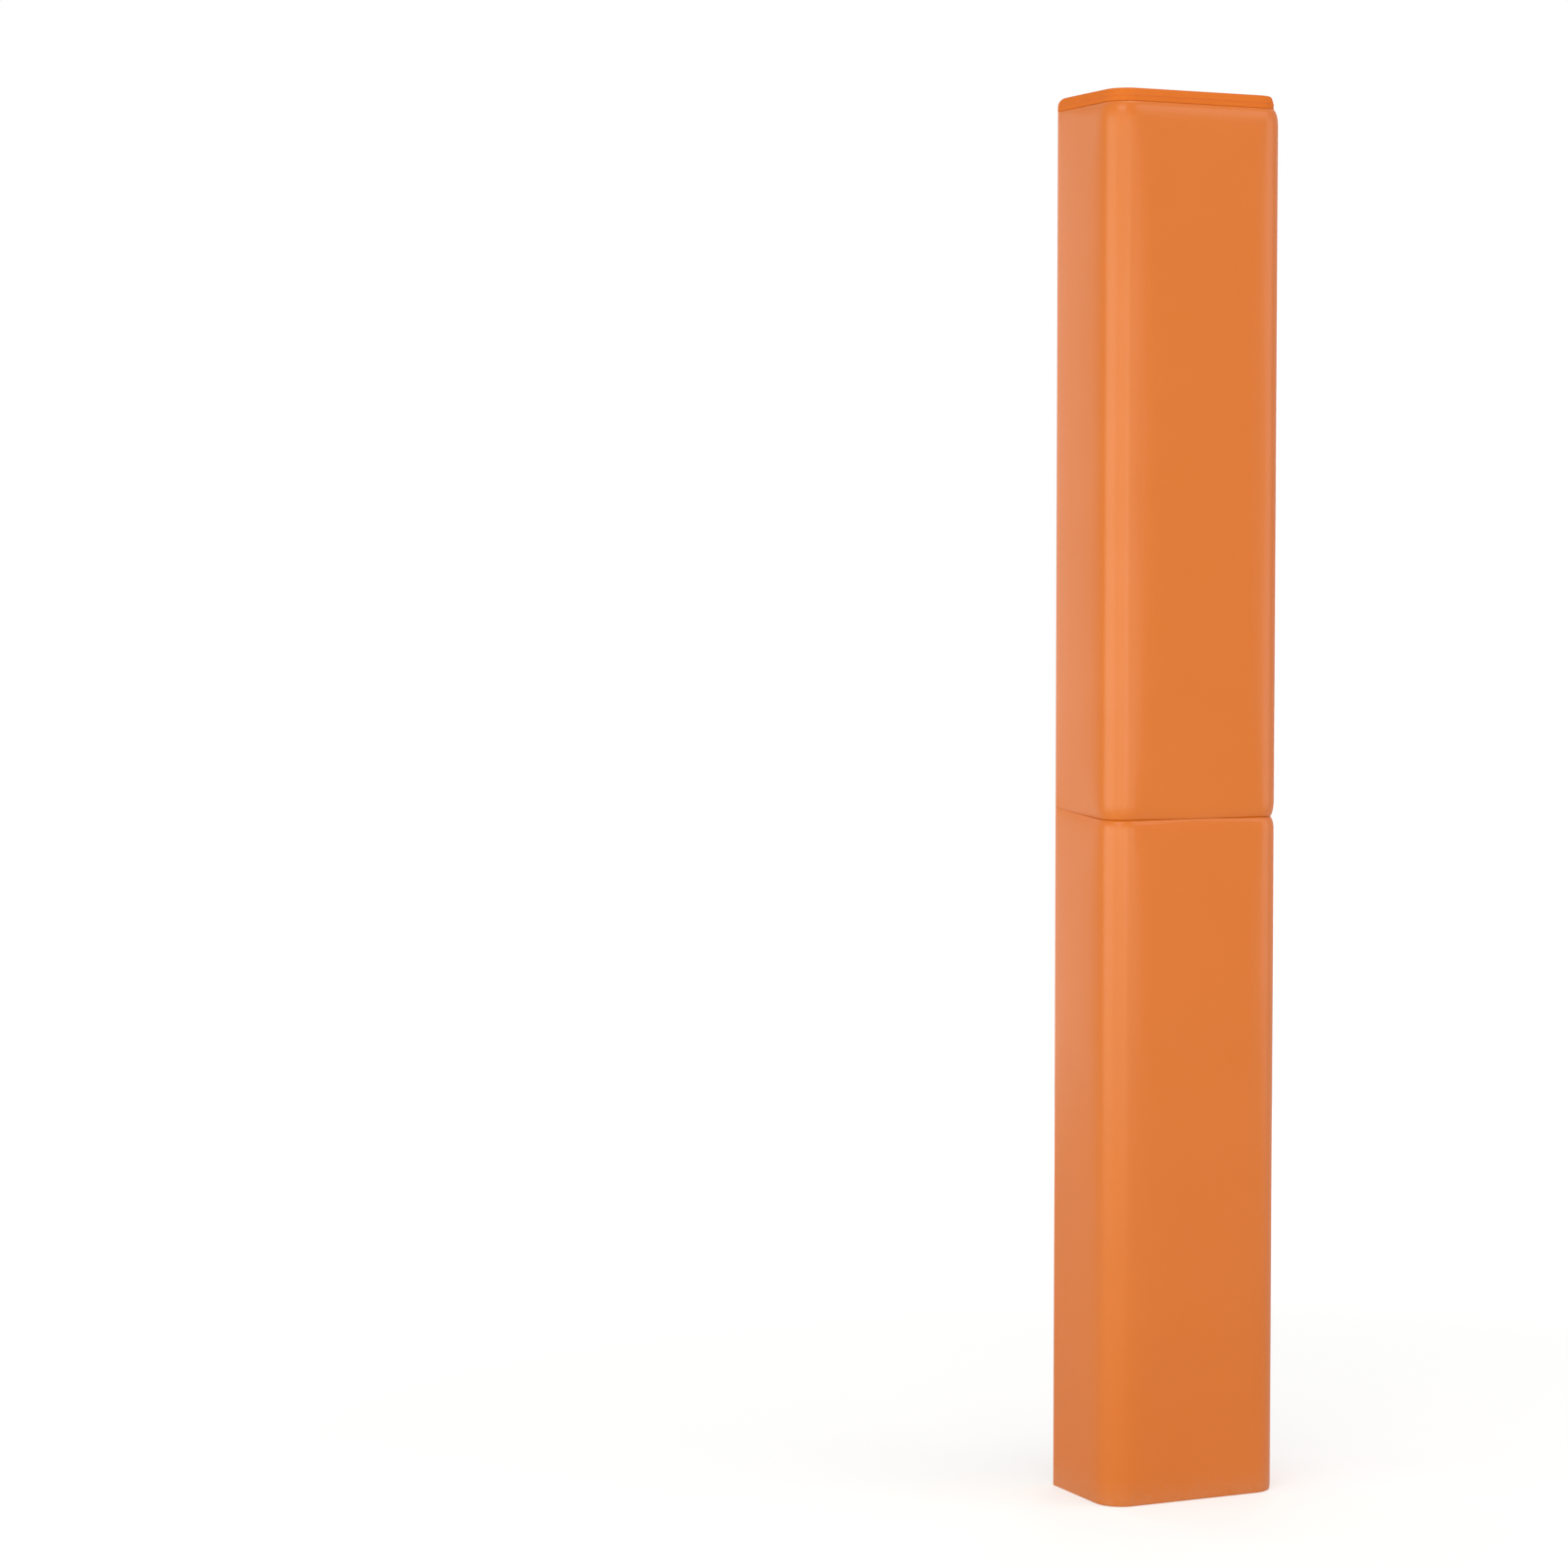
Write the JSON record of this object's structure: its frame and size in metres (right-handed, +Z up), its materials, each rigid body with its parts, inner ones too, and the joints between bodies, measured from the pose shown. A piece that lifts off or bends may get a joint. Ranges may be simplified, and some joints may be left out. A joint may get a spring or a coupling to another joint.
{
  "type": "goal pole pad",
  "caption": "Tall three-sided padded sleeve for a square goal pole, in two sections that fold at a seam, with hook-and-loop straps behind.",
  "frame": {"origin": "centre of the base of the bounding box, on the ground", "axes": "+Z up along the pole; the padded front faces -Y; the channel's mouth and the straps are at +Y; +X is to the right seen from the front"},
  "size_m": [0.2612, 0.1618, 1.8288],
  "materials": {
    "vinyl": "satin vinyl-coated fabric, warm orange",
    "binding_tape": "matt vinyl binding tape, warm orange",
    "foam": "closed-cell foam, matt off-white",
    "webbing": "woven black webbing",
    "hook_tape": "black hook tape",
    "loop_tape": "black loop tape, napped"
  },
  "bodies": {
    "lower_section": {"lower_cover": "vinyl", "lower_bottom_panel": "vinyl", "lower_top_panel": "vinyl", "fold_hinge": "vinyl", "lower_liner": "vinyl", "lower_front_foam": "foam", "lower_left_foam": "foam", "lower_right_foam": "foam", "lower_strap_1_anchor": "webbing", "lower_strap_1_loop": "loop_tape", "lower_strap_2_anchor": "webbing", "lower_strap_2_loop": "loop_tape", "lower_strap_3_anchor": "webbing", "lower_strap_3_loop": "loop_tape"},
    "upper_section": {"upper_cover": "vinyl", "upper_bottom_panel": "vinyl", "upper_top_panel": "vinyl", "top_binding": "binding_tape", "upper_liner": "vinyl", "upper_front_foam": "foam", "upper_left_foam": "foam", "upper_right_foam": "foam", "upper_strap_1_anchor": "webbing", "upper_strap_1_loop": "loop_tape", "upper_strap_2_anchor": "webbing", "upper_strap_2_loop": "loop_tape", "upper_strap_3_anchor": "webbing", "upper_strap_3_loop": "loop_tape"},
    "lower_strap_1": {"lower_strap_1": "webbing", "lower_strap_1_hook": "hook_tape"},
    "lower_strap_2": {"lower_strap_2": "webbing", "lower_strap_2_hook": "hook_tape"},
    "lower_strap_3": {"lower_strap_3": "webbing", "lower_strap_3_hook": "hook_tape"},
    "upper_strap_1": {"upper_strap_1": "webbing", "upper_strap_1_hook": "hook_tape"},
    "upper_strap_2": {"upper_strap_2": "webbing", "upper_strap_2_hook": "hook_tape"},
    "upper_strap_3": {"upper_strap_3": "webbing", "upper_strap_3_hook": "hook_tape"}
  },
  "joints": [
    {"name": "fold", "type": "hinge", "parent": "lower_section", "child": "upper_section", "pos_m": [0, -0.07775, 0.892], "axis": [1, 0, 0], "range_deg": [0, 160], "deforming": ["fold_hinge"]},
    {"name": "lower_strap_1_peel", "type": "hinge", "parent": "lower_section", "child": "lower_strap_1", "pos_m": [-0.07745, 0.0779, 0.13361], "axis": [0, 0, 1], "range_deg": [0, 170]},
    {"name": "lower_strap_2_peel", "type": "hinge", "parent": "lower_section", "child": "lower_strap_2", "pos_m": [-0.07745, 0.0779, 0.44535], "axis": [0, 0, 1], "range_deg": [0, 170]},
    {"name": "lower_strap_3_peel", "type": "hinge", "parent": "lower_section", "child": "lower_strap_3", "pos_m": [-0.07745, 0.0779, 0.75709], "axis": [0, 0, 1], "range_deg": [0, 170]},
    {"name": "upper_strap_1_peel", "type": "hinge", "parent": "upper_section", "child": "upper_strap_1", "pos_m": [-0.07745, 0.0779, 1.03115], "axis": [0, 0, 1], "range_deg": [0, 170]},
    {"name": "upper_strap_2_peel", "type": "hinge", "parent": "upper_section", "child": "upper_strap_2", "pos_m": [-0.07745, 0.0779, 1.3528], "axis": [0, 0, 1], "range_deg": [0, 170]},
    {"name": "upper_strap_3_peel", "type": "hinge", "parent": "upper_section", "child": "upper_strap_3", "pos_m": [-0.07745, 0.0779, 1.67445], "axis": [0, 0, 1], "range_deg": [0, 170]}
  ]
}
